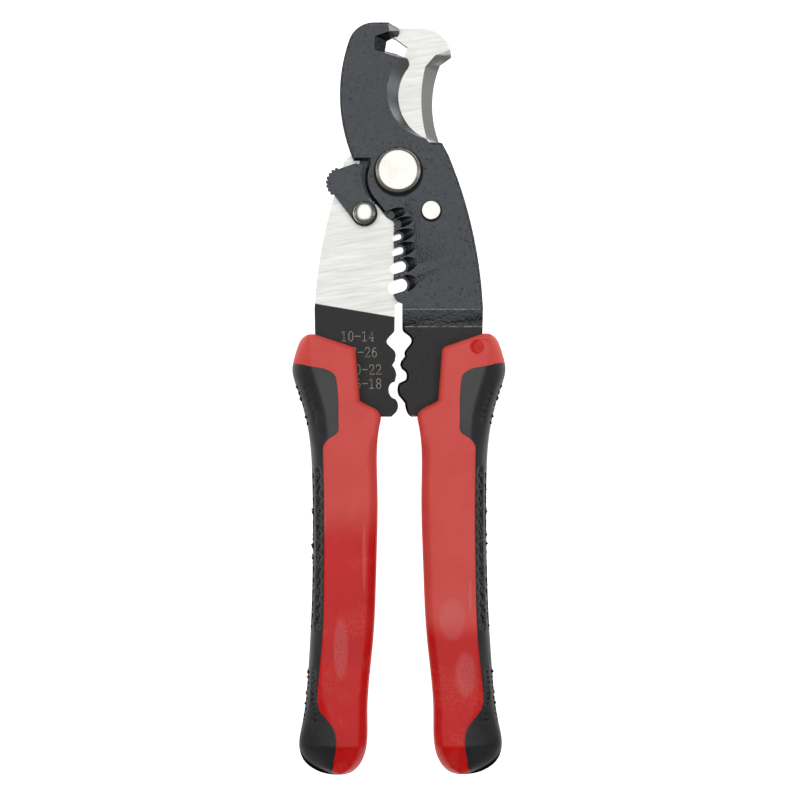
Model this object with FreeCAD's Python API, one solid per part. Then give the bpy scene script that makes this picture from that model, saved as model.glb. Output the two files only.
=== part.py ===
import FreeCAD, Part
import math
import os

from FreeCAD import Vector

# Cable cutter, wire stripper and crimper for thin and thick wire, lying flat and locked shut.
# Millimetres. +Y runs from the grips to the jaws, +Z is up, away from the surface it lies on.
# The origin is below the middle of the whole tool, on that surface.

# ---- overall sizes ----
HALF_LENGTH = 115.0
GRIP_THICK = 16.0
CLEAR = 60.0                     # half width of a cutter that reaches past the whole tool
PLATE = 3.2                      # thickness of both levers
RUN_GAP = 0.025                  # each lever's share of the running gap between them
EASE = 0.9                       # chamfer round the visible face of the front lever
FRONT_RAMP = (27.2, 22.1)        # where the front lever starts and ends its step down
REAR_RAMP = (26.6, 21.7)         # where the rear lever starts and ends its step up
MID_Z = GRIP_THICK / 2           # plane in which the two levers slide on each other
FRONT_TOP = MID_Z + PLATE
REAR_BOTTOM = MID_Z - PLATE

# ---- pivot ----
PIVOT = (0.0, 69.6)
SHANK_R = 4.0
SHANK_FIT = 0.05                 # radial running clearance of the front lever on the shank
THREAD_R = 3.0
HEAD_R = 6.9
HEAD_HEIGHT = 3.0
HEAD_BEVEL = 1.4
WASHER_R = 6.5
WASHER_THICK = 0.9
NUT_FLATS = 10.0
NUT_THICK = 2.9
SPLAY = 0.5                      # degrees that the right grip stands open of the left grip's mirror image

# ---- return spring, in pockets round the pivot ----
POCKET_R = 8.4
POCKET_DEPTH = 1.15
WIRE_R = 0.4
COIL_R = 6.4
COIL_PITCH = 0.85
COIL_ARCS = 12
LEG_GROOVE = 1.5
LEG_CLEARANCE = 0.05
LEG_REACH = 1.6                  # how far each leg runs past the pin that it bears on

# ---- pins ----
STOP_PIN = (10.1, 57.5)
STOP_PIN_R = 1.5
STOP_HEAD_R = 2.85
STOP_HEAD_HEIGHT = 0.7
LATCH_PIN = (-10.3, 56.7)
LATCH_PIN_R = 2.0
LATCH_CROWN_R = 0.9
LATCH_HEAD_R = 3.6
LATCH_HEAD_HEIGHT = 1.7
PIN_EASE = 0.2
PIN_TAIL_HEIGHT = 1.0
PIN_TAIL_FLARE = 0.9             # how far the peened tail stands out past the shank
PIN_TAIL_EASE = 0.4
DOME_STEPS = 6
DOME_RIM = 0.3                   # upright rim below the domed head of the latch rivet

# ---- latch ----
LATCH_WASHER_THICK = 0.25
LATCH_WASHER_R = 3.4
LATCH_Z = MID_Z + 0.3
LATCH_HUB_R = 4.0
LATCH_THICK = 2.75
LATCH_TEETH = 8
LATCH_TOOTH_R = 0.55
LATCH_THUMB = ((-18.2, 70.1), (-21.5, 66.4), (-19.7, 62.4))
LATCH_HUB_LEFT = 215.0           # where the hub's round side meets the thumb rest, in degrees
LATCH_HUB_RIGHT = 45.0           # where it meets the arm

# ---- stripping notches: centre x, centre y, radius ----
FRONT_NOTCHES = ((0.1, 49.5, 0.9), (0.45, 45.3, 1.15), (0.75, 40.4, 1.65), (0.8, 34.7, 2.0))
REAR_NOTCHES = ((-0.85, 49.0, 0.9), (-0.85, 44.6, 1.15), (-0.9, 39.7, 1.65), (-1.1, 33.9, 2.0))
NOTCH_SLANT = 17.0               # degrees that each notch rises towards the right
SCOOP_RISE = 27.0                # degrees that the ground scoop behind each notch climbs
SCOOP_EXTRA = 1.05               # how much wider than its notch each scoop is
SCOOP_STEP = 0.3                 # how much narrower the scoop is at the blade edge
NOTCH_LAND = 0.8                 # blade thickness left at a notch
EDGE_LAND = 0.35                 # thickness left at a ground cutting edge
FINE_NOTCHES = (53.3, 52.3, 51.3)
FINE_SCOOPS = ((-0.2, 53.4, 0.5), (-2.4, 56.1, 0.6))
FINE_NOTCH_X = -1.4
FINE_NOTCH_R = 0.3
NOTCH_LENGTH = 4.0               # how far a notch cutter runs out past the blade edge
SCOOP_LENGTH = 12.0
EDGE_GROWTH = 0.5                # how much wider a ground concave edge is at the lever's face
EDGE_OVERRUN = 1.1               # share of the ground depth that its cutter covers

# ---- grips ----
GRIP_ROUND = 2.0
CORE_WALL = 2.2                  # hard plastic left round the tang under the soft cover
CORE_Z = 3.0
TANG_END = -92.0
TANG_SPARE = 5.0                 # how far the lever blanks run past the tang and the jaw tip

# ---- ground edges, as the cutters meet the blade edge (low) and the lever's face (high) ----
FRONT_EDGE = ((8.1, 79.8), (0.05, 92.6), (3.1, 101.3))
FRONT_EDGE_SHIFT = (-2.9, 1.2)
REAR_EDGE = ((-9.0, 79.6), (-2.6, 92.3), (-5.0, 100.8))
REAR_EDGE_SHIFT = (2.9, 1.2)
BITE_LOW = ((4, 111.6), (-1.2, 110.7), (-3.6, 109.5), (-4.1, 106.3), (-0.4, 105.4), (4, 104.2))
BITE_HIGH = ((4, 112.4), (-2.9, 112.3), (-7.3, 110.8), (-7.5, 106.6), (-1.2, 104.6), (4, 103.2))
JAW_SIDE_LOW = ((16.4, 106.9), (16.3, 104.7), (12.9, 102.3), ((10.5, 91.0), (12.6, 78.6)),
                (12.9, 76.0), (24, 76), (24, 106.9))
JAW_SIDE_HIGH = ((16.4, 106.9), (11.2, 105.2), (8.2, 101.7), ((7.0, 91.5), (8.6, 79.8)),
                 (12.8, 76.0), (24, 76), (24, 106.9))


def vec(point, z=0.0):
    return Vector(point[0], point[1], z)


def on_circle(centre, radius, degrees):
    turn = math.radians(degrees)
    return centre[0] + radius * math.cos(turn), centre[1] + radius * math.sin(turn)


def outline(start, *steps):
    """Closed wire at z 0. A step is a point reached straight, a pair of points (through,
    end) reached by an arc, or a list of points that a smooth curve passes through."""
    edges = []
    here = start
    for step in steps + (start,):
        if isinstance(step, list):
            curve = Part.BSplineCurve()
            curve.interpolate([vec(p) for p in [here] + step])
            edges.append(curve.toShape())
            here = step[-1]
        elif isinstance(step[0], tuple):
            edges.append(Part.Arc(vec(here), vec(step[0]), vec(step[1])).toShape())
            here = step[1]
        elif math.dist(here, step) > 1e-6:
            edges.append(Part.makeLine(vec(here), vec(step)))
            here = step
    return Part.Wire(edges)


def prism(wire, bottom, top):
    face = Part.Face(wire)
    face.translate(Vector(0, 0, bottom))
    return face.extrude(Vector(0, 0, top - bottom))


def disc(centre, radius, bottom, top):
    return Part.makeCylinder(radius, top - bottom, vec(centre, bottom))


def ruled(low_wire, low_z, high_wire, high_z):
    """Solid between two outlines of the same kind at two heights."""
    low = low_wire.copy()
    low.translate(Vector(0, 0, low_z))
    high = high_wire.copy()
    high.translate(Vector(0, 0, high_z))
    return Part.makeLoft([low, high], True, True)


def mirrored(shape):
    """Mirror image in x = 0, opened about the pivot by the splay."""
    image = shape.mirror(Vector(0, 0, 0), Vector(1, 0, 0))
    image.rotate(vec(PIVOT), Vector(0, 0, 1), SPLAY)
    return image


def across(point):
    """Where a point of the left half lands on the right half."""
    turn = math.radians(SPLAY)
    x = -point[0] - PIVOT[0]
    y = point[1] - PIVOT[1]
    return (
        PIVOT[0] + x * math.cos(turn) - y * math.sin(turn),
        PIVOT[1] + x * math.sin(turn) + y * math.cos(turn),
    )


# ---- lever blanks ----

# The tang runs down inside the left grip; the right tang is its mirror image.
TANG_OUTER = [(-25.4, 20.0), (-24.2, 8.0), (-21.2, -12.0), (-20.8, -80.0), (-20.6, TANG_END)]
TANG_INNER = [(-12.6, TANG_END), (-11.8, -80.0), (-10.8, -14.0), (-6.6, -8.0), (-5.2, -5.6)]


def front_blank():
    """Plan view of the lever that carries the left jaw and the right grip."""
    tang_out = [across(p) for p in TANG_OUTER]
    tang_in = [across(p) for p in TANG_INNER]
    return outline(
        (-3.0, HALF_LENGTH),
        (-7.4, HALF_LENGTH),
        ((-12.02, 113.53), (-14.95, 109.65)),
        ((-17.8, 92.5), (-13.6, 72.7)),
        (-9.2, 72.7),
        (-9.2, 71.6),
        ((-10.1, 67.0), (-8.4, 61.6)),
        (-3.5, 55.4),
        (-1.35, 54.1),
        (-1.35, 33.0),
        ((-0.7, 30.2), (1.3, 29.0)),
        (1.3, 21.3),
        [(1.8, 20.3), (3.6, 18.9), (4.1, 17.7), (3.4, 16.2), (2.3, 14.9), (2.1, 12.9)],
        (0.9, 11.4),
        (0.6, 10.2),
        (1.2, 8.9),
        ((2.6, 7.2), (2.2, 5.6)),
        (0.3, 4.7),
        ((-0.2, 3.0), (0.2, 0.9)),
        (2.0, -1.3),
        [(2.4, -3.3), (3.0, -4.7), (4.1, -5.6)],
        *reversed(tang_in),
        *reversed(tang_out),
        (26.0, 27.5),
        ((23.6, 47.5), (18.6, 66.2)),
        (15.6, 74.1),
        (13.4, 78.2),
        (9.4, 78.3),
        (8.1, 79.8),
        ((0.05, 92.6), (3.1, 101.3)),
        ((3.4, 102.7), (2.8, 104.0)),
        (-0.4, 105.5),
        (-4.0, 106.4),
        (-3.5, 109.4),
        (-1.5, 110.4),
        (-0.3, 110.8),
        ((0.45, 112.1), (0.1, 113.3)),
    )


def rear_blank():
    """Plan view of the lever that carries the right jaw and the left grip."""
    return outline(
        (-2.2, 113.4),
        (7.6, 113.4),
        ((13.4, 111.0), (16.3, 106.0)),
        (16.3, 104.7),
        (12.9, 102.3),
        ((10.5, 91.0), (12.6, 78.6)),
        [(12.2, 70.0), (8.6, 61.0), (3.4, 55.6)],
        (1.35, 54.1),
        (1.35, 33.0),
        ((0.7, 30.2), (-1.0, 29.0)),
        (-1.1, 20.7),
        [(-2.4, 19.2), (-3.5, 17.3), (-2.7, 16.1), (-1.3, 14.8), (-0.7, 13.2)],
        (-1.0, 11.4),
        (-1.8, 10.2),
        ((-0.9, 8.8), (-0.5, 7.3)),
        (-1.0, 5.1),
        [(-2.5, 4.2), (-2.9, 2.5), (-2.4, 0.9), (-0.8, -0.2)],
        ((0.0, -2.0), (-0.6, -4.2)),
        (-2.0, -5.6),
        *reversed(TANG_INNER),
        *reversed(TANG_OUTER),
        (-25.6, 27.5),
        ((-23.3, 46.7), (-18.6, 65.0)),
        (-17.0, 70.5),
        (-16.5, 72.7),
        (-14.3, 74.6),
        (-13.2, 78.2),
        (-9.6, 78.3),
        (-9.0, 79.6),
        ((-2.6, 92.3), (-5.0, 100.8)),
        (-4.6, 102.6),
        (-2.0, 104.0),
        (1.9, 104.8),
        (2.9, 107.6),
        (-0.76, 110.2),
        (-2.4, 110.8),
    )


def joggled(bottom, end_bottom, ramp_top, ramp_end):
    """Side view of a lever blank: a slab that steps down or up between two heights."""
    far = HALF_LENGTH + TANG_SPARE
    near = TANG_END - TANG_SPARE
    points = [
        (far, bottom), (ramp_top, bottom), (ramp_end, end_bottom), (near, end_bottom),
        (near, end_bottom + PLATE), (ramp_end, end_bottom + PLATE),
        (ramp_top, bottom + PLATE), (far, bottom + PLATE),
    ]
    wire = Part.makePolygon([Vector(-CLEAR, y, z) for y, z in points + points[:1]])
    return Part.Face(wire).extrude(Vector(2 * CLEAR, 0, 0))


def notch_cut(notch, towards_left):
    """Slanted slot that runs out of the blade edge."""
    x, y, radius = notch
    corners = (NOTCH_LENGTH, -radius), (NOTCH_LENGTH, radius)
    plan = outline((0, radius), ((-radius, 0), (0, -radius)), *corners)
    slot = prism(plan, -GRIP_THICK, 2 * GRIP_THICK)
    slot.rotate(Vector(), Vector(0, 0, 1), NOTCH_SLANT + (180 if towards_left else 0))
    slot.translate(vec((x, y)))
    return slot


def scoop_cut(notch, land_z, side):
    """Ground scoop that sharpens one notch: side is 1 on the front lever, -1 on the rear."""
    x, y, radius = notch
    radius += SCOOP_EXTRA
    slant = math.radians(NOTCH_SLANT)
    rise = math.radians(SCOOP_RISE)
    along = Vector(math.cos(slant) * math.cos(rise), math.sin(slant) * math.cos(rise), math.sin(rise))
    start = Vector(x, y, land_z + side * radius)
    groove = Part.makeCylinder(radius, SCOOP_LENGTH, start, along * side)
    mouth = notch_cut((x, y, radius - SCOOP_STEP), side > 0)
    ends = (land_z, land_z + side * GRIP_THICK)
    keep = Part.makeBox(2 * CLEAR, HALF_LENGTH, GRIP_THICK, Vector(-CLEAR, 0, min(ends)))
    return groove.common(keep).fuse(mouth.common(keep))


def circle_through(first, second, third):
    """Centre and radius of the circle through three points."""
    circle = Part.Arc(vec(first), vec(second), vec(third)).toShape().Curve
    return circle.Center, circle.Radius


def edge_grind(arc_points, edge_z, shift, face_z):
    """Cutter that grinds a concave cutting edge: a slanted cone between two circles."""
    centre, radius = circle_through(*arc_points)
    wires = []
    for share in (0.0, EDGE_OVERRUN):
        middle = (centre.x + share * shift[0], centre.y + share * shift[1])
        height = edge_z + share * (face_z - edge_z)
        wires.append(Part.Wire(Part.makeCircle(radius + share * EDGE_GROWTH, vec(middle, height))))
    return Part.makeLoft(wires, True, True)


def spring_pocket(floor_z, roof_z):
    return disc(PIVOT, POCKET_R, floor_z, roof_z)


def spring_leg(pin, pin_radius, side):
    """Start and end of the leg that bears on a pin, in plan. side 1 is the right leg."""
    rel = (pin[0] - PIVOT[0], pin[1] - PIVOT[1])
    distance = math.hypot(*rel)
    gap = pin_radius + WIRE_R + LEG_CLEARANCE
    turn = math.acos((COIL_R + gap) / distance) * side
    angle = math.atan2(rel[1], rel[0]) + turn
    normal = (math.cos(angle), math.sin(angle))
    along = (normal[1] * side, -normal[0] * side)
    length = rel[0] * along[0] + rel[1] * along[1] + LEG_REACH
    start = (PIVOT[0] + COIL_R * normal[0], PIVOT[1] + COIL_R * normal[1])
    end = (start[0] + length * along[0], start[1] + length * along[1])
    return start, end, math.degrees(angle) % 360


def leg_groove(leg, bottom, top):
    start, end = leg[:2]
    length = math.dist(start, end)
    groove = Part.makeBox(length, LEG_GROOVE, top - bottom, Vector(0, -LEG_GROOVE / 2, bottom))
    groove = groove.fuse(disc((length, 0), LEG_GROOVE / 2, bottom, top))
    turn = math.degrees(math.atan2(end[1] - start[1], end[0] - start[0]))
    groove.rotate(Vector(), Vector(0, 0, 1), turn)
    groove.translate(vec(start))
    return groove


RIGHT_LEG = spring_leg(STOP_PIN, STOP_PIN_R, 1)
LEFT_LEG = spring_leg(LATCH_PIN, LATCH_PIN_R, -1)


def ease_top(shape, top_z, wanted, size):
    """Chamfer the edges of the top face whose middle passes the test."""
    edges = []
    for edge in shape.Edges:
        middle = edge.valueAt((edge.FirstParameter + edge.LastParameter) / 2)
        level = edge.BoundBox
        if abs(level.ZMin - top_z) < 1e-4 and abs(level.ZMax - top_z) < 1e-4 and wanted(middle):
            edges.append(edge)
    return shape.makeChamfer(size, edges)


def on_front_rim(point):
    """Is this on the front lever's outer rim, away from its cutting and stripping edges?"""
    beside_blade = point.x > 11 and point.y > FRONT_RAMP[0] + 0.1
    in_bite = BITE_LOW[-1][1] < point.y < BITE_LOW[1][1]
    along_back = point.x < -5 or (point.x < -1.4 and not in_bite)
    return beside_blade or along_back


def front_lever():
    bottom = MID_Z + RUN_GAP
    mid_plate = MID_Z - PLATE / 2
    lever = prism(front_blank(), 0, GRIP_THICK)
    lever = lever.common(joggled(bottom, mid_plate, *FRONT_RAMP))
    lever = ease_top(lever, bottom + PLATE, on_front_rim, EASE)
    lever = lever.cut(disc(PIVOT, SHANK_R + SHANK_FIT, 0, GRIP_THICK))
    lever = lever.cut(disc(STOP_PIN, STOP_PIN_R, 0, GRIP_THICK))
    lever = lever.cut(spring_pocket(bottom - 1, MID_Z + POCKET_DEPTH))
    lever = lever.cut(leg_groove(RIGHT_LEG, bottom - 1, MID_Z + POCKET_DEPTH))
    edge_z = bottom + EDGE_LAND
    lever = lever.cut(edge_grind(FRONT_EDGE, edge_z, FRONT_EDGE_SHIFT, FRONT_TOP))
    lever = lever.cut(ruled(outline(*BITE_LOW), edge_z, outline(*BITE_HIGH), FRONT_TOP + 0.2))
    for notch in FRONT_NOTCHES:
        lever = lever.cut(notch_cut(notch, True))
        lever = lever.cut(scoop_cut(notch, bottom + NOTCH_LAND, 1))
    for notch in FINE_SCOOPS:
        lever = lever.cut(scoop_cut(notch, bottom + NOTCH_LAND, 1))
    for y in FINE_NOTCHES:
        lever = lever.cut(disc((FINE_NOTCH_X, y), FINE_NOTCH_R, 0, GRIP_THICK))
    return lever.removeSplitter()


def rear_lever():
    top = MID_Z - RUN_GAP
    mid_plate = MID_Z - PLATE / 2
    lever = prism(rear_blank(), 0, GRIP_THICK)
    lever = lever.common(joggled(top - PLATE, mid_plate, *REAR_RAMP))
    lever = lever.cut(disc(PIVOT, SHANK_R, 0, GRIP_THICK))
    lever = lever.cut(disc(LATCH_PIN, LATCH_PIN_R, 0, GRIP_THICK))
    lever = lever.cut(spring_pocket(MID_Z - POCKET_DEPTH, top + 1))
    lever = lever.cut(leg_groove(LEFT_LEG, MID_Z - POCKET_DEPTH, top + 1))
    edge_z = top - EDGE_LAND
    lever = lever.cut(edge_grind(REAR_EDGE, edge_z, REAR_EDGE_SHIFT, REAR_BOTTOM))
    side = ruled(outline(*JAW_SIDE_LOW), REAR_BOTTOM + EDGE_LAND, outline(*JAW_SIDE_HIGH), top + 0.1)
    lever = lever.cut(side)
    for notch in REAR_NOTCHES:
        lever = lever.cut(notch_cut(notch, False))
        lever = lever.cut(scoop_cut(notch, top - NOTCH_LAND, -1))
    return lever.removeSplitter()


# ---- pivot and pins ----

def turned(centre, profile):
    """Solid of revolution about a vertical axis; the profile is (radius, height) points."""
    wire = Part.makePolygon([Vector(r, 0, z) for r, z in profile + profile[:1]])
    solid = Part.Face(wire).revolve(Vector(), Vector(0, 0, 1), 360)
    solid.translate(vec(centre))
    return solid


def pivot_bolt():
    seat = FRONT_TOP + 2 * RUN_GAP
    side = HEAD_HEIGHT - HEAD_BEVEL
    end = REAR_BOTTOM - WASHER_THICK - NUT_THICK
    return turned(PIVOT, [
        (0, seat + HEAD_HEIGHT), (HEAD_R - HEAD_BEVEL, seat + HEAD_HEIGHT), (HEAD_R, seat + side),
        (HEAD_R, seat), (SHANK_R, seat), (SHANK_R, REAR_BOTTOM), (THREAD_R, REAR_BOTTOM),
        (THREAD_R, end), (0, end),
    ])


def pivot_washer():
    ring = disc(PIVOT, WASHER_R, REAR_BOTTOM - RUN_GAP - WASHER_THICK, REAR_BOTTOM - RUN_GAP)
    return ring.cut(disc(PIVOT, THREAD_R, 0, GRIP_THICK)).cut(disc(PIVOT, SHANK_R, REAR_BOTTOM, GRIP_THICK))


def pivot_nut():
    top = REAR_BOTTOM - RUN_GAP - WASHER_THICK
    corner = NUT_FLATS / math.sqrt(3)
    nut = prism(outline(*(on_circle(PIVOT, corner, 60 * i) for i in range(6))), top - NUT_THICK, top)
    bevel = corner - NUT_FLATS / 2
    nut = nut.common(turned(PIVOT, [
        (0, top), (corner, top), (corner, top - NUT_THICK + bevel),
        (corner - bevel, top - NUT_THICK), (0, top - NUT_THICK),
    ]))
    return nut.cut(disc(PIVOT, THREAD_R, 0, GRIP_THICK))


def arc_from(start, tangent, end):
    """Arc that leaves start along a unit tangent and reaches end, and its tangent there."""
    chord = end - start
    along = Vector(chord).normalize()
    leaving = along * (2 * tangent.dot(along)) - tangent
    rise = chord.Length / 2 * math.tan(math.acos(tangent.dot(along)) / 2)
    middle = (start + end) * 0.5 + (tangent - leaving).normalize() * rise
    return Part.Arc(start, middle, end).toShape(), leaving


def return_spring():
    """Torsion spring: a coil of about one and a half turns between two straight legs.
    It climbs clockwise from the left leg to the right one, as a chain of tangent arcs."""
    right_start, right_end, right_angle = RIGHT_LEG
    left_start, left_end, left_angle = LEFT_LEG
    turn = left_angle - right_angle + 360
    height = COIL_PITCH * turn / 360
    low = MID_Z - height / 2
    here = vec(left_start, low)
    tangent = (here - vec(left_end, low)).normalize()
    edges = [Part.makeLine(vec(left_end, low), here)]
    for i in range(1, COIL_ARCS + 1):
        angle = left_angle - turn * i / COIL_ARCS
        there = vec(on_circle(PIVOT, COIL_R, angle), low + height * i / COIL_ARCS)
        arc, tangent = arc_from(here, tangent, there)
        edges.append(arc)
        here = there
    edges.append(Part.makeLine(here, here + tangent * math.dist(right_start, right_end)))
    section = Part.makeCircle(WIRE_R, vec(left_end, low), vec(left_start) - vec(left_end))
    return Part.Wire(edges).makePipeShell([Part.Wire(section)], True, False)


def stop_pin():
    seat = FRONT_TOP + RUN_GAP
    top = seat + STOP_HEAD_HEIGHT
    foot = MID_Z + 4 * RUN_GAP
    return turned(STOP_PIN, [
        (0, top), (STOP_HEAD_R - PIN_EASE, top), (STOP_HEAD_R, top - PIN_EASE),
        (STOP_HEAD_R, seat), (STOP_PIN_R, seat), (STOP_PIN_R, foot), (0, foot),
    ])


def latch_rivet():
    seat = LATCH_Z + LATCH_THICK + RUN_GAP
    under = REAR_BOTTOM - RUN_GAP
    tail_r = LATCH_PIN_R + PIN_TAIL_FLARE
    tail_z = under - PIN_TAIL_HEIGHT
    profile = [(0, seat + LATCH_HEAD_HEIGHT), (LATCH_CROWN_R, seat + LATCH_HEAD_HEIGHT)]
    for i in range(1, DOME_STEPS + 1):
        turn = math.radians(90 * i / DOME_STEPS)
        radius = LATCH_CROWN_R + (LATCH_HEAD_R - LATCH_CROWN_R) * math.sin(turn)
        profile.append((radius, seat + DOME_RIM + (LATCH_HEAD_HEIGHT - DOME_RIM) * math.cos(turn)))
    profile += [
        (LATCH_HEAD_R, seat), (LATCH_PIN_R, seat), (LATCH_PIN_R, under), (tail_r, under),
        (tail_r, tail_z + PIN_TAIL_EASE), (tail_r - PIN_TAIL_EASE, tail_z), (0, tail_z),
    ]
    return turned(LATCH_PIN, profile)


# ---- latch ----

def latch_washer():
    base = MID_Z - RUN_GAP
    ring = disc(LATCH_PIN, LATCH_WASHER_R, base, base + LATCH_WASHER_THICK)
    return ring.cut(disc(LATCH_PIN, LATCH_PIN_R, 0, GRIP_THICK))


def lock_latch():
    upper, middle, lower = LATCH_THUMB
    plan = outline(
        (-10.6, 71.3),
        (-12.9, 71.9),
        upper,
        (middle, lower),
        on_circle(LATCH_PIN, LATCH_HUB_R, LATCH_HUB_LEFT),
        (on_circle(LATCH_PIN, LATCH_HUB_R, 270), on_circle(LATCH_PIN, LATCH_HUB_R, LATCH_HUB_RIGHT)),
        [(-9.0, 61.2), (-10.8, 65.4), (-11.2, 68.6)],
    )
    top = LATCH_Z + LATCH_THICK
    latch = prism(plan, LATCH_Z, top)
    centre, radius = circle_through(*LATCH_THUMB)
    first, last = (math.degrees(math.atan2(y - centre.y, x - centre.x)) % 360 for x, y in (upper, lower))
    for i in range(LATCH_TEETH):
        angle = first + (last - first) * (i + 0.5) / LATCH_TEETH
        latch = latch.fuse(disc(on_circle(centre, radius, angle), LATCH_TOOTH_R, LATCH_Z, top))
    latch = latch.cut(disc(LATCH_PIN, LATCH_PIN_R + SHANK_FIT, 0, GRIP_THICK))
    return latch.removeSplitter()


# ---- grips ----

def grip_blank():
    """Whole left grip, with its long edges rounded."""
    plan = outline(
        (-25.2, 19.5),
        [(-29.3, 18.4), (-31.1, 14.5), (-32.3, 8.3), (-31.0, 3.4), (-28.9, -3.0), (-27.0, -12.6),
         (-26.2, -24.0), (-26.0, -40.0), (-26.4, -65.0), (-27.4, -83.0), (-29.2, -99.0),
         (-30.2, -106.0), (-28.9, -110.4), (-25.0, -113.6), (-19.0, -115.0), (-13.8, -113.9),
         (-10.9, -110.4), (-9.4, -97.0), (-7.7, -75.0), (-6.6, -50.0), (-6.3, -28.0), (-6.2, -12.0),
         (-5.3, -6.6)],
        [(-6.4, -3.5), (-8.5, -2.3), (-11.6, -0.6)],
        (-12.4, 8.6),
        (-12.8, 13.8),
        ((-13.2, 15.1), (-14.3, 15.9)),
    )
    grip = prism(plan, 0, GRIP_THICK)
    rims = [e for e in grip.Edges if e.BoundBox.ZLength < 1e-4]
    return grip.makeFillet(GRIP_ROUND, rims)


def cover_region():
    """Plan area of the soft cover: thumb swell, outer side and heel."""
    return prism(outline(
        (-36.0, 10.7),
        (-29.0, 10.4),
        [(-23.6, 9.3), (-20.6, 8.3), (-19.2, 7.1), (-18.6, 5.0), (-18.1, -1.0), (-18.0, -8.6)],
        [(-18.8, -10.8), (-20.9, -12.2), (-22.3, -13.7), (-22.8, -16.0)],
        [(-22.4, -37.0), (-22.5, -57.4), (-23.1, -75.0), (-24.1, -85.2), (-24.6, -92.3)],
        (-23.8, -95.0),
        (-19.8, -99.9),
        [(-18.8, -103.0), (-19.0, -107.5), (-19.6, -118.0)],
        (-36.0, -118.0),
    ), -1, GRIP_THICK + 1)


def tang_core():
    """Hard plastic that stays round the tang below the soft cover."""
    outer = [(x - CORE_WALL, y) for x, y in TANG_OUTER]
    inside = (TANG_OUTER[0][0] + TANG_INNER[0][0]) / 2
    plan = outline(*outer, (inside, TANG_END), (inside, TANG_OUTER[0][1]))
    return prism(plan, CORE_Z, GRIP_THICK - CORE_Z)


def left_grip():
    """The hard body and the soft cover of the left grip, before the tang is cut out."""
    blank = grip_blank()
    region = cover_region()
    soft = blank.common(region)
    core = soft.common(tang_core())
    body = blank.cut(region).fuse(core)
    return body.removeSplitter(), soft.cut(core).removeSplitter()


def main():
    os.makedirs("parts", exist_ok=True)
    front = front_lever()
    rear = rear_lever()
    body, cover = left_grip()
    nodes = {
        "front_lever": front,
        "rear_lever": rear,
        "pivot_bolt": pivot_bolt(),
        "pivot_washer": pivot_washer(),
        "pivot_nut": pivot_nut(),
        "return_spring": return_spring(),
        "stop_pin": stop_pin(),
        "latch_rivet": latch_rivet(),
        "latch_washer": latch_washer(),
        "lock_latch": lock_latch(),
        "left_grip_body": body.cut(rear),
        "left_grip_cover": cover.cut(rear),
        "right_grip_body": mirrored(body).cut(front),
        "right_grip_cover": mirrored(cover).cut(front),
    }
    for name, shape in nodes.items():
        solids = shape.Solids
        print(name, len(solids), shape.isValid(), round(shape.Volume, 1))
        shape = solids[0] if len(solids) == 1 else Part.makeCompound(solids)
        shape.exportStep(f"parts/{name}.step")


main()
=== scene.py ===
"""Looks of a cable cutter, wire stripper and crimper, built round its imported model.

The tool lies flat, jaws towards +Y, and is locked shut. Sizes in the classes below are in
millimetres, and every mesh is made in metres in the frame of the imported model.
"""

import sys

import logging
import math
from dataclasses import dataclass, field
from enum import Enum
from typing import Callable, Optional, Sequence

import bmesh
import bpy
from bpy.types import Material, Node, NodeSocket, NodeTree, Object
from mathutils import Euler, Matrix, Vector

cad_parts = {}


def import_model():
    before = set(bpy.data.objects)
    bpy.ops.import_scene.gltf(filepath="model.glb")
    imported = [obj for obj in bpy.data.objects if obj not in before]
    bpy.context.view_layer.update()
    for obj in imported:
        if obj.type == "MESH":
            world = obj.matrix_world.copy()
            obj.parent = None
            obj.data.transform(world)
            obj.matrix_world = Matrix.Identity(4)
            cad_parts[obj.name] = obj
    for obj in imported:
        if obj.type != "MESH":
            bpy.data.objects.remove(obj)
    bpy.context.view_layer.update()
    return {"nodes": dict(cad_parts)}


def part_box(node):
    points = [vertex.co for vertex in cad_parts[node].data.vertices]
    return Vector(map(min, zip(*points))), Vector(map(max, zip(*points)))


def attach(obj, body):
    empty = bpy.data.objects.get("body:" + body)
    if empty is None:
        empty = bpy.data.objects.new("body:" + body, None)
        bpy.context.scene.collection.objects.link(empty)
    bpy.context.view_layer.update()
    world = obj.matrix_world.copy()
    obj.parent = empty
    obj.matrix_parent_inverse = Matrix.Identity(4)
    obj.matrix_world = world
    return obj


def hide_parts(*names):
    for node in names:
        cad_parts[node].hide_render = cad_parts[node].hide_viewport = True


LOG = logging.getLogger("wire_stripper")
MM = 0.001
Point = tuple[float, float]
Colour = tuple[float, float, float]


class Side(Enum):
    """The two grips."""

    LEFT = "left"
    RIGHT = "right"


class Body(Enum):
    """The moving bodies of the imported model."""

    REAR = "rear_side"
    FRONT = "front_side"
    LATCH = "latch"


class Slot(Enum):
    """The record's material slots."""

    COATED = "coated_steel"
    GROUND = "ground_steel"
    BRIGHT = "bright_steel"
    RED = "red_plastic"
    RUBBER = "black_rubber"


def smoothstep(low: float, high: float, value: float) -> float:
    """Eased 0 to 1 as value goes from low to high; low may be the larger."""
    share = min(max((value - low) / (high - low), 0.0), 1.0)
    return share * share * (3.0 - 2.0 * share)


def along(points: Sequence[Point], y: float) -> float:
    """Value at y on a line through (y, value) points that run downwards in y.

    Args:
        points: pairs of y and value, highest y first.
        y: where to read the line.

    Returns:
        The value, held constant past both ends.
    """
    if y >= points[0][0]:
        return points[0][1]
    for (y0, a), (y1, b) in zip(points, points[1:]):
        if y >= y1:
            return a + (b - a) * (y - y0) / (y1 - y0)
    return points[-1][1]


# ---- node trees ----


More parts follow.
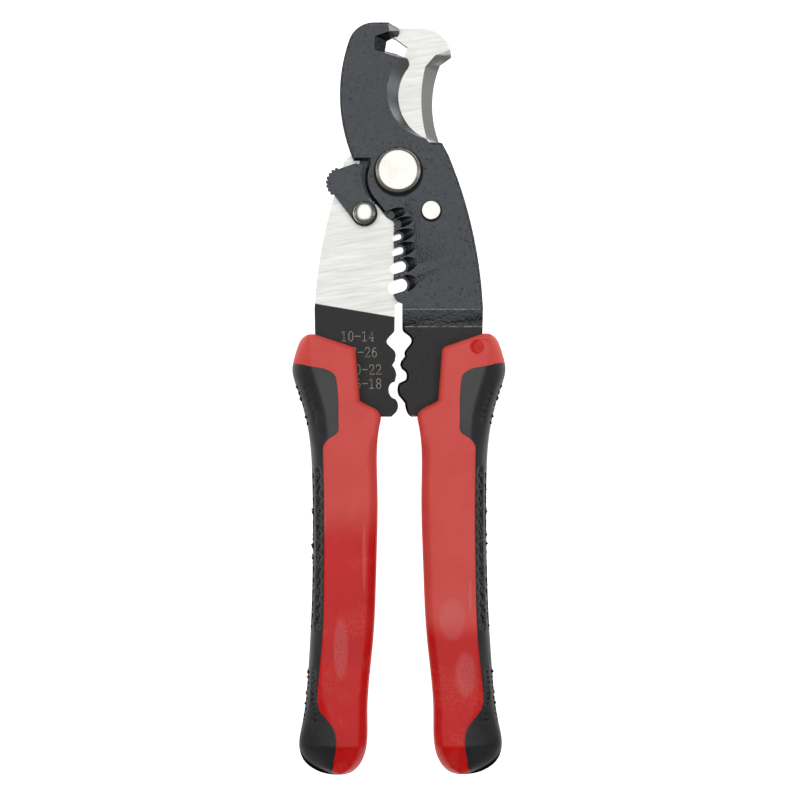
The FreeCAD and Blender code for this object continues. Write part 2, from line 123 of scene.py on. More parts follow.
class Graph:
    """Short calls for wiring one node tree."""

    def __init__(self, tree: NodeTree) -> None:
        """Keeps the tree that the calls add to."""
        self.tree = tree

    def node(self, kind: str, **settings: object) -> Node:
        """Adds a node.

        Args:
            kind: the node's type name.
            **settings: properties of the node.

        Returns:
            The new node.
        """
        made = self.tree.nodes.new(kind)
        for name, value in settings.items():
            setattr(made, name, value)
        return made

    def feed(self, socket: NodeSocket, value: object) -> None:
        """Links a socket into another, or sets a plain value on it."""
        if isinstance(value, NodeSocket):
            self.tree.links.new(value, socket)
        else:
            socket.default_value = value

    def math(self, operation: str, a: object, b: object = 0.0, clamp: bool = False) -> NodeSocket:
        """Result of one Math node."""
        made = self.node("ShaderNodeMath", operation=operation, use_clamp=clamp)
        self.feed(made.inputs[0], a)
        self.feed(made.inputs[1], b)
        return made.outputs[0]

    def object_space(self) -> NodeSocket:
        """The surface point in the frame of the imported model."""
        return self.node("ShaderNodeTexCoord").outputs["Object"]

    def mapped(self, vector: object, scale: Colour = (1, 1, 1), turn: float = 0.0) -> NodeSocket:
        """Coordinates turned about Z by so many degrees and scaled along each axis."""
        made = self.node("ShaderNodeMapping", vector_type="TEXTURE")
        self.feed(made.inputs["Vector"], vector)
        made.inputs["Rotation"].default_value = (0.0, 0.0, math.radians(turn))
        made.inputs["Scale"].default_value = tuple(1.0 / s for s in scale)
        return made.outputs[0]

    def noise(self, vector: object, scale: object, detail: float = 2.0, roughness: float = 0.5) -> NodeSocket:
        """Value of a Noise texture."""
        made = self.node("ShaderNodeTexNoise")
        self.feed(made.inputs["Vector"], vector)
        self.feed(made.inputs["Scale"], scale)
        made.inputs["Detail"].default_value = detail
        made.inputs["Roughness"].default_value = roughness
        return made.outputs["Fac"]

    def cells(self, vector: object, scale: object) -> NodeSocket:
        """Distance to the nearest of a scatter of points."""
        made = self.node("ShaderNodeTexVoronoi")
        self.feed(made.inputs["Vector"], vector)
        self.feed(made.inputs["Scale"], scale)
        return made.outputs["Distance"]

    def step(self, value: object, low: object, high: object) -> NodeSocket:
        """Eased 0 to 1 as value goes from low to high; low may be the larger."""
        made = self.node("ShaderNodeMapRange", interpolation_type="SMOOTHSTEP")
        self.feed(made.inputs["Value"], value)
        self.feed(made.inputs["From Min"], low)
        self.feed(made.inputs["From Max"], high)
        return made.outputs["Result"]

    def ranged(self, value: object, low: float, high: float) -> NodeSocket:
        """A 0 to 1 value spread over low to high."""
        made = self.node("ShaderNodeMapRange")
        self.feed(made.inputs["Value"], value)
        made.inputs["To Min"].default_value = low
        made.inputs["To Max"].default_value = high
        return made.outputs["Result"]

    def blend(self, factor: object, a: object, b: object) -> NodeSocket:
        """Colour a changed into colour b by factor."""
        made = self.node("ShaderNodeMix", data_type="RGBA")
        for socket, value in ((made.inputs[0], factor), (made.inputs[6], a), (made.inputs[7], b)):
            self.feed(socket, (*value, 1.0) if isinstance(value, tuple) and len(value) == 3 else value)
        return made.outputs[2]

    def axes(self, vector: object) -> tuple[NodeSocket, NodeSocket, NodeSocket]:
        """The three parts of a vector."""
        made = self.node("ShaderNodeSeparateXYZ")
        self.feed(made.inputs[0], vector)
        return made.outputs[0], made.outputs[1], made.outputs[2]

    def disc(self, x: NodeSocket, y: NodeSocket, centre: Point, radius: float, fade: float) -> NodeSocket:
        """Round mask in plan.

        Args:
            x: the surface point's X.
            y: the surface point's Y.
            centre: middle of the disc in millimetres.
            radius: its radius in millimetres.
            fade: width of its soft rim in millimetres.

        Returns:
            1 inside the disc and 0 outside it.
        """
        dx = self.math("SUBTRACT", x, centre[0] * MM)
        dy = self.math("SUBTRACT", y, centre[1] * MM)
        squares = self.math("ADD", self.math("MULTIPLY", dx, dx), self.math("MULTIPLY", dy, dy))
        away = self.math("SQRT", squares)
        return self.step(away, radius * MM, (radius - fade) * MM)

    def band(self, value: NodeSocket, low: float, high: float, fade: float) -> NodeSocket:
        """Mask of values between low and high, all in millimetres."""
        up = self.step(value, (low - fade) * MM, low * MM)
        down = self.step(value, (high + fade) * MM, high * MM)
        return self.math("MULTIPLY", up, down)

    def facing_up(self) -> NodeSocket:
        """Upward part of the surface normal, 1 on a level top."""
        return self.axes(self.node("ShaderNodeNewGeometry").outputs["Normal"])[2]

    def bump(self, height: object, depth: float, strength: float = 1.0,
             normal: Optional[NodeSocket] = None) -> NodeSocket:
        """Normal bent by a height, depth metres deep."""
        made = self.node("ShaderNodeBump")
        made.inputs["Strength"].default_value = strength
        made.inputs["Distance"].default_value = depth
        self.feed(made.inputs["Height"], height)
        if normal is not None:
            self.feed(made.inputs["Normal"], normal)
        return made.outputs[0]

    def group(self, tree: NodeTree, **values: object) -> Node:
        """Places a node group.

        Args:
            tree: the group.
            **values: its inputs, with _ for a space.

        Returns:
            The group's node.
        """
        made = self.node("ShaderNodeGroup", node_tree=tree)
        for name, value in values.items():
            self.feed(made.inputs[name.replace("_", " ")], value)
        return made


class SharedGroups:
    """Shader groups that several finishes use, each built once."""

    def __init__(self) -> None:
        """Builds every group."""
        self.peel = self._peel()
        self.wear = self._wear()
        self.smears = self._smears()
        self.grinding = self._grinding()

    @staticmethod
    def _start(name: str, inputs: dict[str, tuple[str, object]],
               outputs: Sequence[str]) -> tuple[Graph, Node, Node]:
        """Starts a group with its sockets.

        Args:
            name: the group's name.
            inputs: socket type and default value of each input.
            outputs: names of the value outputs.

        Returns:
            The graph, its input node and its output node.
        """
        tree = bpy.data.node_groups.new(name, "ShaderNodeTree")
        for label, (kind, value) in inputs.items():
            socket = tree.interface.new_socket(name=label, in_out="INPUT", socket_type=kind)
            if value is not None:
                socket.default_value = value
        for label in outputs:
            tree.interface.new_socket(name=label, in_out="OUTPUT", socket_type="NodeSocketFloat")
        graph = Graph(tree)
        return graph, graph.node("NodeGroupInput"), graph.node("NodeGroupOutput")

    def _peel(self) -> NodeTree:
        """Orange peel of a thick coat: dimples, lumps and scattered specks."""
        graph, given, out = self._start(
            "OrangePeel",
            {"Vector": ("NodeSocketVector", None), "Grain": ("NodeSocketFloat", 1100.0)},
            ("Height", "Specks", "Mottle"),
        )
        vector, grain = given.outputs["Vector"], given.outputs["Grain"]
        lumps = graph.noise(vector, grain, 3.0, 0.6)
        dimples = graph.step(graph.cells(vector, graph.math("MULTIPLY", grain, 0.8)), 0.0, 0.45)
        height = graph.math("ADD", graph.math("MULTIPLY", lumps, 0.7), graph.math("MULTIPLY", dimples, 0.3))
        dots = graph.step(graph.noise(vector, graph.math("MULTIPLY", grain, 0.9), 1.0), 0.67, 0.74)
        rare = graph.step(graph.noise(vector, graph.math("MULTIPLY", grain, 0.10), 2.0), 0.42, 0.56)
        specks = graph.math("MULTIPLY", dots, rare)
        graph.feed(out.inputs["Height"], graph.math("SUBTRACT", height, graph.math("MULTIPLY", specks, 0.45)))
        graph.feed(out.inputs["Specks"], specks)
        graph.feed(out.inputs["Mottle"], graph.noise(vector, graph.math("MULTIPLY", grain, 0.45), 5.0, 0.75))
        return graph.tree

    def _wear(self) -> NodeTree:
        """Mask of the corners of a piece, broken up as rubbing breaks a coat."""
        graph, given, out = self._start(
            "EdgeWear",
            {"Vector": ("NodeSocketVector", None), "Radius": ("NodeSocketFloat", 0.0003),
             "Breakup": ("NodeSocketFloat", 900.0)},
            ("Mask",),
        )
        rounded = graph.node("ShaderNodeBevel", samples=4)
        graph.feed(rounded.inputs["Radius"], given.outputs["Radius"])
        flat = graph.node("ShaderNodeNewGeometry").outputs["Normal"]
        turned = graph.node("ShaderNodeVectorMath", operation="DOT_PRODUCT")
        graph.feed(turned.inputs[0], rounded.outputs[0])
        graph.feed(turned.inputs[1], flat)
        corner = graph.step(turned.outputs["Value"], 0.995, 0.93)
        spots = graph.noise(given.outputs["Vector"], given.outputs["Breakup"], 4.0, 0.7)
        broken = graph.step(spots, 0.42, 0.62)
        graph.feed(out.inputs["Mask"], graph.math("MULTIPLY", corner, broken, True))
        return graph.tree

    def _smears(self) -> NodeTree:
        """Dull rubbed patches with crackled borders, and fine scuffs that run along Y."""
        graph, given, out = self._start(
            "Smears",
            {"Vector": ("NodeSocketVector", None), "Patch": ("NodeSocketFloat", 55.0)},
            ("Patches", "Scuffs"),
        )
        vector, patch = given.outputs["Vector"], given.outputs["Patch"]
        broad = graph.step(graph.noise(vector, patch, 5.0, 0.55), 0.47, 0.60)
        crackle = graph.step(graph.noise(vector, graph.math("MULTIPLY", patch, 22.0), 4.0, 0.7), 0.38, 0.66)
        graph.feed(out.inputs["Patches"], graph.math("MULTIPLY", broad, crackle))
        stretched = graph.mapped(vector, (1.0, 0.12, 1.0))
        streaks = graph.noise(stretched, graph.math("MULTIPLY", patch, 30.0), 3.0, 0.6)
        graph.feed(out.inputs["Scuffs"], graph.step(streaks, 0.60, 0.72))
        return graph.tree

    def _grinding(self) -> NodeTree:
        """Fine parallel lines of a surface grinder, with a slow change of shade."""
        graph, given, out = self._start(
            "Grinding",
            {"Vector": ("NodeSocketVector", None), "Pitch": ("NodeSocketFloat", 1600.0)},
            ("Lines", "Shade"),
        )
        vector, pitch = given.outputs["Vector"], given.outputs["Pitch"]
        fine = graph.noise(graph.mapped(vector, (0.05, 1.0, 0.3)), pitch, 3.0, 0.6)
        broad = graph.noise(graph.mapped(vector, (0.10, 1.0, 0.3)), graph.math("MULTIPLY", pitch, 0.3), 2.0)
        graph.feed(out.inputs["Lines"], graph.math("ADD", graph.math("MULTIPLY", fine, 0.8),
                                                   graph.math("MULTIPLY", broad, 0.2)))
        graph.feed(out.inputs["Shade"], graph.noise(vector, graph.math("MULTIPLY", pitch, 0.05), 4.0, 0.6))
        return graph.tree


# ---- finishes ----


def principled(name: str, roughness: float = 0.5, metallic: float = 0.0, specular: float = 0.5,
               coat: float = 0.0, coat_roughness: float = 0.1) -> tuple[Material, Graph, Node]:
    """Starts a material with one Principled shader.

    Args:
        name: the material's name.
        roughness: plain roughness, kept where nothing is linked to it.
        metallic: plain metallic value.
        specular: specular level.
        coat: weight of the clear coat.
        coat_roughness: roughness of the clear coat.

    Returns:
        The material, its graph and the shader node.
    """
    material = bpy.data.materials.new(name)
    material.use_nodes = True
    material.node_tree.nodes.clear()
    graph = Graph(material.node_tree)
    shader = graph.node("ShaderNodeBsdfPrincipled")
    out = graph.node("ShaderNodeOutputMaterial")
    graph.feed(out.inputs["Surface"], shader.outputs[0])
    shader.inputs["Roughness"].default_value = roughness
    shader.inputs["Metallic"].default_value = metallic
    shader.inputs["Specular IOR Level"].default_value = specular
    shader.inputs["Coat Weight"].default_value = coat
    shader.inputs["Coat Roughness"].default_value = coat_roughness
    return material, graph, shader


@dataclass(frozen=True)
class CoatedSteel:
    """Thick black coat with an orange-peel surface, rubbed to metal at some corners, with painted shadows round
    the heads, painted highlight lines and painted shade on tilted faces.
    """

    name: str = "coated_steel"
    coat: Colour = (0.008, 0.014, 0.022)
    mottled: Colour = (0.022, 0.029, 0.037)
    primer: Colour = (0.018, 0.0185, 0.0195)
    # Dark of the specks, also used for the painted shade and painted shadows.
    speck_and_shade: Colour = (0.001, 0.001, 0.002)
    wear_and_highlight: Colour = (0.30, 0.29, 0.27)
    bare: Colour = (0.31, 0.32, 0.325)
    grain: float = 1150.0
    peel_depth: float = 0.00030
    edge: float = 0.00025
    shine: Point = (0.26, 0.44)
    matt_below: Point = (21.6, 22.0)
    # Painted highlight lines along the ramps, Y in millimetres.
    highlight_lines: Sequence[float] = (27.25, 22.0)
    # Painted shadows: (x, y, radius) in millimetres of dark soft discs round the heads that sit on the coat.
    painted_shadows: Sequence[tuple[float, float, float]] = ()

    def build(self, groups: SharedGroups,
              bare_mask: Optional[Callable[[Graph], NodeSocket]] = None) -> Material:
        """Makes the material.

        Args:
            groups: the shared shader groups.
            bare_mask: draws where the coat is ground away, or None if nowhere.

        Returns:
            The material.
        """
        material, graph, shader = principled(self.name, specular=0.5)
        place = graph.object_space()
        peel = graph.group(groups.peel, Vector=place, Grain=self.grain)
        wear = graph.group(groups.wear, Vector=place, Radius=self.edge).outputs["Mask"]
        colour = graph.blend(graph.step(peel.outputs["Mottle"], 0.40, 0.62), self.coat, self.mottled)
        x, y, _ = graph.axes(place)
        matt = graph.step(y, self.matt_below[1] * MM, self.matt_below[0] * MM)
        colour = graph.blend(matt, colour, self.primer)
        colour = graph.blend(graph.math("MULTIPLY", peel.outputs["Specks"], 0.5), colour, self.speck_and_shade)
        scratches = graph.noise(graph.mapped(place, (0.3, 1.0, 1.0)), 1400.0, 4.0, 0.7)
        scratched = graph.step(scratches, 0.40, 0.56)
        # Painted highlights: pale lines broken up like wear, at the top and foot of the ramps.
        for line in self.highlight_lines:
            highlight_strip = graph.math("MULTIPLY", graph.band(y, line - 0.08, line + 0.08, 0.14), scratched)
            wear = graph.math("MAXIMUM", wear, highlight_strip)
        # Real corner wear and the painted highlight lines both take the pale colour.
        colour = graph.blend(graph.math("MULTIPLY", wear, 0.55), colour, self.wear_and_highlight)
        shine = graph.ranged(peel.outputs["Mottle"], *self.shine)
        # Painted shadow: a dark, duller disc round each head, set a little towards -Y.
        for cx, cy, radius in self.painted_shadows:
            shadow_disc = graph.disc(x, y, (cx, cy), radius, 0.35)
            colour = graph.blend(shadow_disc, colour, self.speck_and_shade)
            shine = graph.math("ADD", shine, graph.math("MULTIPLY", shadow_disc, 0.45))
        shine = graph.math("ADD", shine, graph.math("MULTIPLY", matt, 0.36))
        # Painted shade: faces that tilt away from level are painted nearly as dark as the specks.
        turned = graph.step(graph.facing_up(), 0.985, 0.955)
        colour = graph.blend(graph.math("MULTIPLY", turned, 0.7), colour, self.speck_and_shade)
        shine = graph.math("MULTIPLY", shine, graph.ranged(turned, 1.0, 0.45))
        height = peel.outputs["Height"]
        metal = graph.math("MULTIPLY", wear, 0.6)
        if bare_mask is not None:
            bare = bare_mask(graph)
            lines = graph.group(groups.grinding, Vector=graph.mapped(place, turn=70.0), Pitch=1500.0)
            steel = graph.blend(lines.outputs["Lines"], self.bare, tuple(0.7 * c for c in self.bare))
            colour = graph.blend(bare, colour, steel)
            shine = graph.math("ADD", shine, graph.math("MULTIPLY", bare, 0.16))
            metal = graph.math("MAXIMUM", metal, bare)
            height = graph.math("MULTIPLY", height, graph.math("SUBTRACT", 1.0, bare))
        graph.feed(shader.inputs["Base Color"], colour)
        graph.feed(shader.inputs["Metallic"], metal)
        graph.feed(shader.inputs["Roughness"], shine)
        graph.feed(shader.inputs["Normal"], graph.bump(height, self.peel_depth, 0.75))
        return material


@dataclass(frozen=True)
class GroundSteel:
    """Rear lever: level faces ground bright, the rest left dark, with paler ground bevels."""

    name: str = "ground_steel"
    bright: Colour = (0.50, 0.505, 0.485)
    shaded: Colour = (0.40, 0.405, 0.390)
    bevel: Colour = (0.36, 0.365, 0.36)
    dark: Colour = (0.018, 0.0185, 0.0195)
    line_turn: float = 9.0
    # Painted shade ring: centre, inner and outer radius in millimetres.
    gap_shade: tuple[Point, float, float] = ((0.0, 69.6), 8.6, 12.3)
    limit: tuple[Point, Point] = ((-25.0, 29.0), (-1.4, 25.0))
    pitch: float = 2300.0
    line_depth: float = 0.000012

    def build(self, groups: SharedGroups) -> Material:
        """Makes the material from the shared groups."""
        material, graph, shader = principled(self.name, specular=0.5)
        place = graph.object_space()
        x, y, _ = graph.axes(place)
        (x0, y0), (x1, y1) = self.limit
        slope = (y1 - y0) / (x1 - x0)
        over = graph.math("SUBTRACT", y, graph.math("MULTIPLY", x, slope))
        start = (y0 - slope * x0) * MM
        ground = graph.step(over, start - 0.15 * MM, start + 0.15 * MM)
        level = graph.step(graph.facing_up(), 0.3, 0.9)
        jaw_sides = graph.math("MULTIPLY", graph.step(graph.facing_up(), 0.05, 0.25),
                               graph.step(y, 76.5 * MM, 77.5 * MM))
        level = graph.math("MAXIMUM", level, jaw_sides)
        turned = graph.mapped(place, turn=self.line_turn)
        lines = graph.group(groups.grinding, Vector=turned, Pitch=self.pitch)
        steel = graph.blend(graph.step(lines.outputs["Lines"], 0.30, 0.75), self.bright, self.shaded)
        steel = graph.blend(graph.math("MULTIPLY", graph.step(lines.outputs["Shade"], 0.5, 0.75), 0.3),
                            steel, self.shaded)
        steel = graph.blend(graph.step(graph.facing_up(), 0.97, 0.90), steel, self.bevel)
        # Painted shade: a dark ring round the pivot on the latch side, where the gap beside the latch lies in
        # shade.
        (px, py), inner, outer = self.gap_shade
        ring = graph.math("SUBTRACT", graph.disc(x, y, (px, py), outer, 0.3),
                          graph.disc(x, y, (px, py), inner, 0.3), True)
        ring = graph.math("MULTIPLY", ring, graph.step(x, -4.0 * MM, -5.0 * MM))
        steel = graph.blend(graph.math("MULTIPLY", ring, 0.95), steel, self.dark)
        peel = graph.group(groups.peel, Vector=place, Grain=1500.0)
        wear = graph.group(groups.wear, Vector=place, Radius=0.0002).outputs["Mask"]
        coated = graph.blend(graph.math("MULTIPLY", wear, 0.5), self.dark, self.bevel)
        mask = graph.math("MULTIPLY", ground, level)
        graph.feed(shader.inputs["Base Color"], graph.blend(mask, coated, steel))
        graph.feed(shader.inputs["Metallic"], graph.math("MAXIMUM", mask, graph.math("MULTIPLY", wear, 0.5)))
        shine = graph.ranged(lines.outputs["Lines"], 0.28, 0.46)
        graph.feed(shader.inputs["Roughness"],
                   graph.math("ADD", shine, graph.math("MULTIPLY", graph.math("SUBTRACT", 1.0, mask), 0.36)))
        rough = graph.bump(graph.math("MULTIPLY", peel.outputs["Height"], graph.math("SUBTRACT", 1.0, mask)),
                           0.00006, 0.6)
        graph.feed(shader.inputs["Normal"], graph.bump(lines.outputs["Lines"], self.line_depth, 0.6, rough))
        return material


@dataclass(frozen=True)
class BrightMetal:
    """Nickel-plated steel with fine handling scratches."""

    name: str = "bright_nickel"
    clean: Colour = (0.53, 0.52, 0.485)
    dull: Colour = (0.36, 0.345, 0.30)
    shine: Point = (0.22, 0.36)
    scratch_depth: float = 0.00001

    def build(self, groups: SharedGroups) -> Material:
        """Makes the material from the shared groups."""
        material, graph, shader = principled(self.name, metallic=1.0)
        place = graph.object_space()
        smears = graph.group(groups.smears, Vector=place, Patch=160.0)
        fine = graph.group(groups.grinding, Vector=graph.mapped(place, turn=31.0), Pitch=2600.0)
        dulled = graph.math("MULTIPLY", smears.outputs["Patches"], 0.55)
        graph.feed(shader.inputs["Base Color"], graph.blend(dulled, self.clean, self.dull))
        graph.feed(shader.inputs["Roughness"], graph.ranged(fine.outputs["Lines"], *self.shine))
        graph.feed(shader.inputs["Normal"], graph.bump(fine.outputs["Lines"], self.scratch_depth, 0.4))
        return material


@dataclass(frozen=True)
class SpringWire:
    """Drawn and lightly oiled spring wire."""

    name: str = "spring_wire"
    light: Colour = (0.42, 0.42, 0.41)
    dark: Colour = (0.20, 0.20, 0.20)

    def build(self, groups: SharedGroups) -> Material:
        """Makes the material from the shared groups."""
        material, graph, shader = principled(self.name, metallic=1.0)
        place = graph.object_space()
        smears = graph.group(groups.smears, Vector=place, Patch=400.0)
        graph.feed(shader.inputs["Base Color"],
                   graph.blend(smears.outputs["Patches"], self.light, self.dark))
        graph.feed(shader.inputs["Roughness"], graph.ranged(smears.outputs["Scuffs"], 0.30, 0.45))
        return material


@dataclass(frozen=True)
class RedPlastic:
    """Moulded red plastic with a painted sheen on the upper grips, dulled patches and crackled white rubs from
    handling, and a fine grain.
    """

    name: str = "red_plastic"
    clean: Colour = (0.640, 0.0040, 0.0025)
    deep: Colour = (0.560, 0.0025, 0.0020)
    sheen_and_haze_colour: Colour = (0.720, 0.082, 0.068)
    rubbed: Colour = (0.720, 0.260, 0.250)
    sheen_end_left: Point = (-31.0, -45.0)
    sheen_end_right: Point = (-66.0, -74.0)
    rubs: Sequence[tuple[float, float, float, float]] = (
        (-17.4, -76.0, 2.6, 11.0), (-10.3, -48.0, 0.7, 12.5), (16.5, -67.0, 4.6, 7.5),
        (20.5, -84.0, 3.6, 8.0), (-22.3, -37.0, 0.5, 4.5), (21.9, -60.0, 0.6, 6.0),
    )
    gate: tuple[Point, float] = ((24.0, 15.8), 2.4)
    grain: float = 2200.0
    grain_depth: float = 0.00004

    def sheen_and_haze(self, graph: Graph, x: NodeSocket, y: NodeSocket) -> NodeSocket:
        """Painted sheen: paler colour over the upper part of both grips, further down on the right one, where
        the overhead light reflects.
        """
        left = graph.step(y, self.sheen_end_left[1] * MM, self.sheen_end_left[0] * MM)
        right = graph.step(y, self.sheen_end_right[1] * MM, self.sheen_end_right[0] * MM)
        on_right = graph.math("GREATER_THAN", x, 0.0)
        on_left = graph.math("SUBTRACT", 1.0, on_right)
        left = graph.math("MULTIPLY", left, on_left)
        return graph.math("ADD", left, graph.math("MULTIPLY", right, on_right))

    def rub_mask(self, graph: Graph, x: NodeSocket, y: NodeSocket) -> NodeSocket:
        """Soft oval patches where the skin is rubbed."""
        total: object = 0.0
        for cx, cy, wide, long in self.rubs:
            dx = graph.math("DIVIDE", graph.math("SUBTRACT", x, cx * MM), wide * MM)
            dy = graph.math("DIVIDE", graph.math("SUBTRACT", y, cy * MM), long * MM)
            away = graph.math("ADD", graph.math("MULTIPLY", dx, dx), graph.math("MULTIPLY", dy, dy))
            total = graph.math("MAXIMUM", total, graph.step(away, 1.0, 0.35))
        return total

    def build(self, groups: SharedGroups) -> Material:
        """Makes the material from the shared groups."""
        material, graph, shader = principled(self.name, specular=0.28)
        place = graph.object_space()
        x, y, _ = graph.axes(place)
        smears = graph.group(groups.smears, Vector=place, Patch=62.0)
        cloud = graph.noise(place, 70.0, 4.0, 0.6)
        colour = graph.blend(graph.step(cloud, 0.35, 0.7), self.clean, self.deep)
        clouding = graph.ranged(graph.step(cloud, 0.3, 0.7), 1.0, 0.78)
        # Painted sheen from the light above, with the smear patches adding real dulled spots.
        sheen_and_haze = graph.math("MULTIPLY", self.sheen_and_haze(graph, x, y), clouding)
        sheen_and_haze = graph.math("MAXIMUM", sheen_and_haze, graph.math("MULTIPLY", smears.outputs["Patches"], 0.45))
        sheen_and_haze = graph.math("MULTIPLY", sheen_and_haze, graph.math("SUBTRACT", 1.0, graph.disc(x, y, *self.gate, 0.3)))
        colour = graph.blend(sheen_and_haze, colour, self.sheen_and_haze_colour)
        crackle = graph.noise(graph.mapped(place, (1.0, 1.9, 1.0), 32.0), 1500.0, 4.0, 0.8)
        lines = graph.math("MULTIPLY", graph.ranged(graph.step(crackle, 0.44, 0.60), 0.25, 1.0),
                           self.rub_mask(graph, x, y))
        lines = graph.math("ADD", graph.math("MULTIPLY", lines, 0.36),
                           graph.math("MULTIPLY", smears.outputs["Scuffs"], 0.06), True)
        graph.feed(shader.inputs["Base Color"], graph.blend(lines, colour, self.rubbed))
        graph.feed(shader.inputs["Roughness"], graph.math("ADD", 0.40, graph.math("MULTIPLY", sheen_and_haze, 0.10)))
        grain = graph.noise(place, self.grain, 3.0, 0.6)
        graph.feed(shader.inputs["Normal"], graph.bump(grain, self.grain_depth, 0.35))
        return material


@dataclass(frozen=True)
class SoftRubber:
    """Soft black cover with a satin skin, dusty in patches, with painted shade in its hollows."""

    name: str = "soft_rubber"
    black: Colour = (0.010, 0.0105, 0.0125)
    dusty: Colour = (0.030, 0.030, 0.031)
    shadow: Colour = (0.001, 0.001, 0.0015)
    grain: float = 1900.0
    grain_depth: float = 0.00005

    def build(self, groups: SharedGroups) -> Material:
        """Makes the material from the shared groups."""
        material, graph, shader = principled(self.name, specular=0.5)
        place = graph.object_space()
        smears = graph.group(groups.smears, Vector=place, Patch=90.0)
        dust = graph.math("MULTIPLY", smears.outputs["Patches"], 0.7)
        hollow = graph.node("ShaderNodeAttribute", attribute_name="hollow").outputs["Fac"]
        colour = graph.blend(dust, self.black, self.dusty)
        # Painted shade: the grooves of the scales and ribs, read from the hollow attribute, are painted near
        # black.
        colour = graph.blend(graph.step(hollow, 0.25, 0.85), colour, self.shadow)
        graph.feed(shader.inputs["Base Color"], colour)
        graph.feed(shader.inputs["Roughness"],
                   graph.math("ADD", 0.40, graph.math("MULTIPLY", smears.outputs["Patches"], 0.18)))
        grain = graph.noise(place, self.grain, 4.0, 0.65)
        graph.feed(shader.inputs["Normal"], graph.bump(grain, self.grain_depth, 0.5))
        return material


@dataclass(frozen=True)
class EtchedMark:
    """Pale etched line of the gauge numbers."""

    name: str = "etched_mark"
    pale: Colour = (0.40, 0.37, 0.31)
    faint: Colour = (0.20, 0.19, 0.17)

    def build(self) -> Material:
        """Makes the material."""
        material, graph, shader = principled(self.name, roughness=0.6, specular=0.3)
        spots = graph.noise(graph.object_space(), 3000.0, 3.0, 0.7)
        colour = graph.blend(graph.step(spots, 0.4, 0.65), self.pale, self.faint)
        graph.feed(shader.inputs["Base Color"], colour)
        return material


# ---- mesh work ----


def merged(node: Object) -> bmesh.types.BMesh:
    """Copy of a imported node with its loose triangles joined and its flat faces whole."""
    shape = bmesh.new()
    shape.from_mesh(node.data)
    bmesh.ops.remove_doubles(shape, verts=shape.verts, dist=1e-6)
    bmesh.ops.dissolve_limit(shape, angle_limit=math.radians(0.4), verts=shape.verts, edges=shape.edges)
    return shape


def corners(shape: bmesh.types.BMesh, degrees: float,
            wanted: Callable[[Vector], bool] = lambda middle: True) -> list[bmesh.types.BMEdge]:
    """Edges where a mesh turns sharply.

    Args:
        shape: the mesh.
        degrees: smallest turn that counts.
        wanted: test of an edge's middle, in metres.

    Returns:
        The edges.
    """
    limit = math.radians(degrees)
    found = []
    for edge in shape.edges:
        if edge.is_manifold and edge.calc_face_angle(0.0) > limit:
            if wanted((edge.verts[0].co + edge.verts[1].co) / 2):
                found.append(edge)
    return found


def soften(shape: bmesh.types.BMesh, edges: Sequence[bmesh.types.BMEdge], width: float,
           segments: int = 2) -> None:
    """Rounds edges over width metres."""
    bmesh.ops.bevel(shape, geom=list(edges), offset=width, offset_type="OFFSET", segments=segments,
                    profile=0.5, affect="EDGES", material=-1, clamp_overlap=True, loop_slide=True)


def settle(shape: bmesh.types.BMesh, name: str, material: Material, smooth_below: float = 32.0) -> Object:
    """Turns a finished mesh into an object at the origin.

    Args:
        shape: the mesh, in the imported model's frame. It is freed.
        name: the object's name.
        material: its material.
        smooth_below: edges that turn less than this many degrees are shaded smooth.

    Returns:
        The object.
    """
    limit = math.radians(smooth_below)
    for face in shape.faces:
        face.smooth = True
    for edge in shape.edges:
        edge.smooth = not edge.is_manifold or edge.calc_face_angle(0.0) < limit
    mesh = bpy.data.meshes.new(name)
    shape.to_mesh(mesh)
    shape.free()
    mesh.materials.append(material)
    piece = bpy.data.objects.new(name, mesh)
    bpy.context.scene.collection.objects.link(piece)
    return piece


def seat(piece: Object, body: Body, slot: Slot, *nodes: str) -> Object:
    """Fixes a piece to its body and hides the nodes that it stands for."""
    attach(piece, body.value)
    if nodes:
        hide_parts(*nodes)
    LOG.info("%s: %d faces on %s", piece.name, len(piece.data.polygons), body.value)
    return piece


def spun(centre: Point, profile: Sequence[Point], rounded: Sequence[tuple[int, float]] = (),
         steps: int = 96) -> bmesh.types.BMesh:
    """Solid of revolution about a vertical axis.

    Args:
        centre: the axis, in millimetres.
        profile: (radius, height) points from the axis round to the axis, in millimetres.
        rounded: (index of a profile point, radius) for each corner that is rounded.
        steps: number of steps round the axis.

    Returns:
        The mesh, in metres.
    """
    shape = bmesh.new()
    points = [shape.verts.new((r * MM, 0.0, z * MM)) for r, z in profile]
    for a, b in zip(points, points[1:]):
        shape.edges.new((a, b))
    for index, radius in rounded:
        bmesh.ops.bevel(shape, geom=[points[index]], offset=radius * MM, offset_type="OFFSET", segments=5,
                        profile=0.5, affect="VERTICES", material=-1)
        shape.verts.ensure_lookup_table()
    bmesh.ops.spin(shape, geom=shape.verts[:] + shape.edges[:], axis=(0, 0, 1), cent=(0, 0, 0),
                   steps=steps, angle=math.tau, use_merge=True)
    bmesh.ops.remove_doubles(shape, verts=shape.verts, dist=1e-7)
    bmesh.ops.recalc_face_normals(shape, faces=shape.faces)
    bmesh.ops.translate(shape, verts=shape.verts, vec=(centre[0] * MM, centre[1] * MM, 0.0))
    return shape


# ---- levers ----


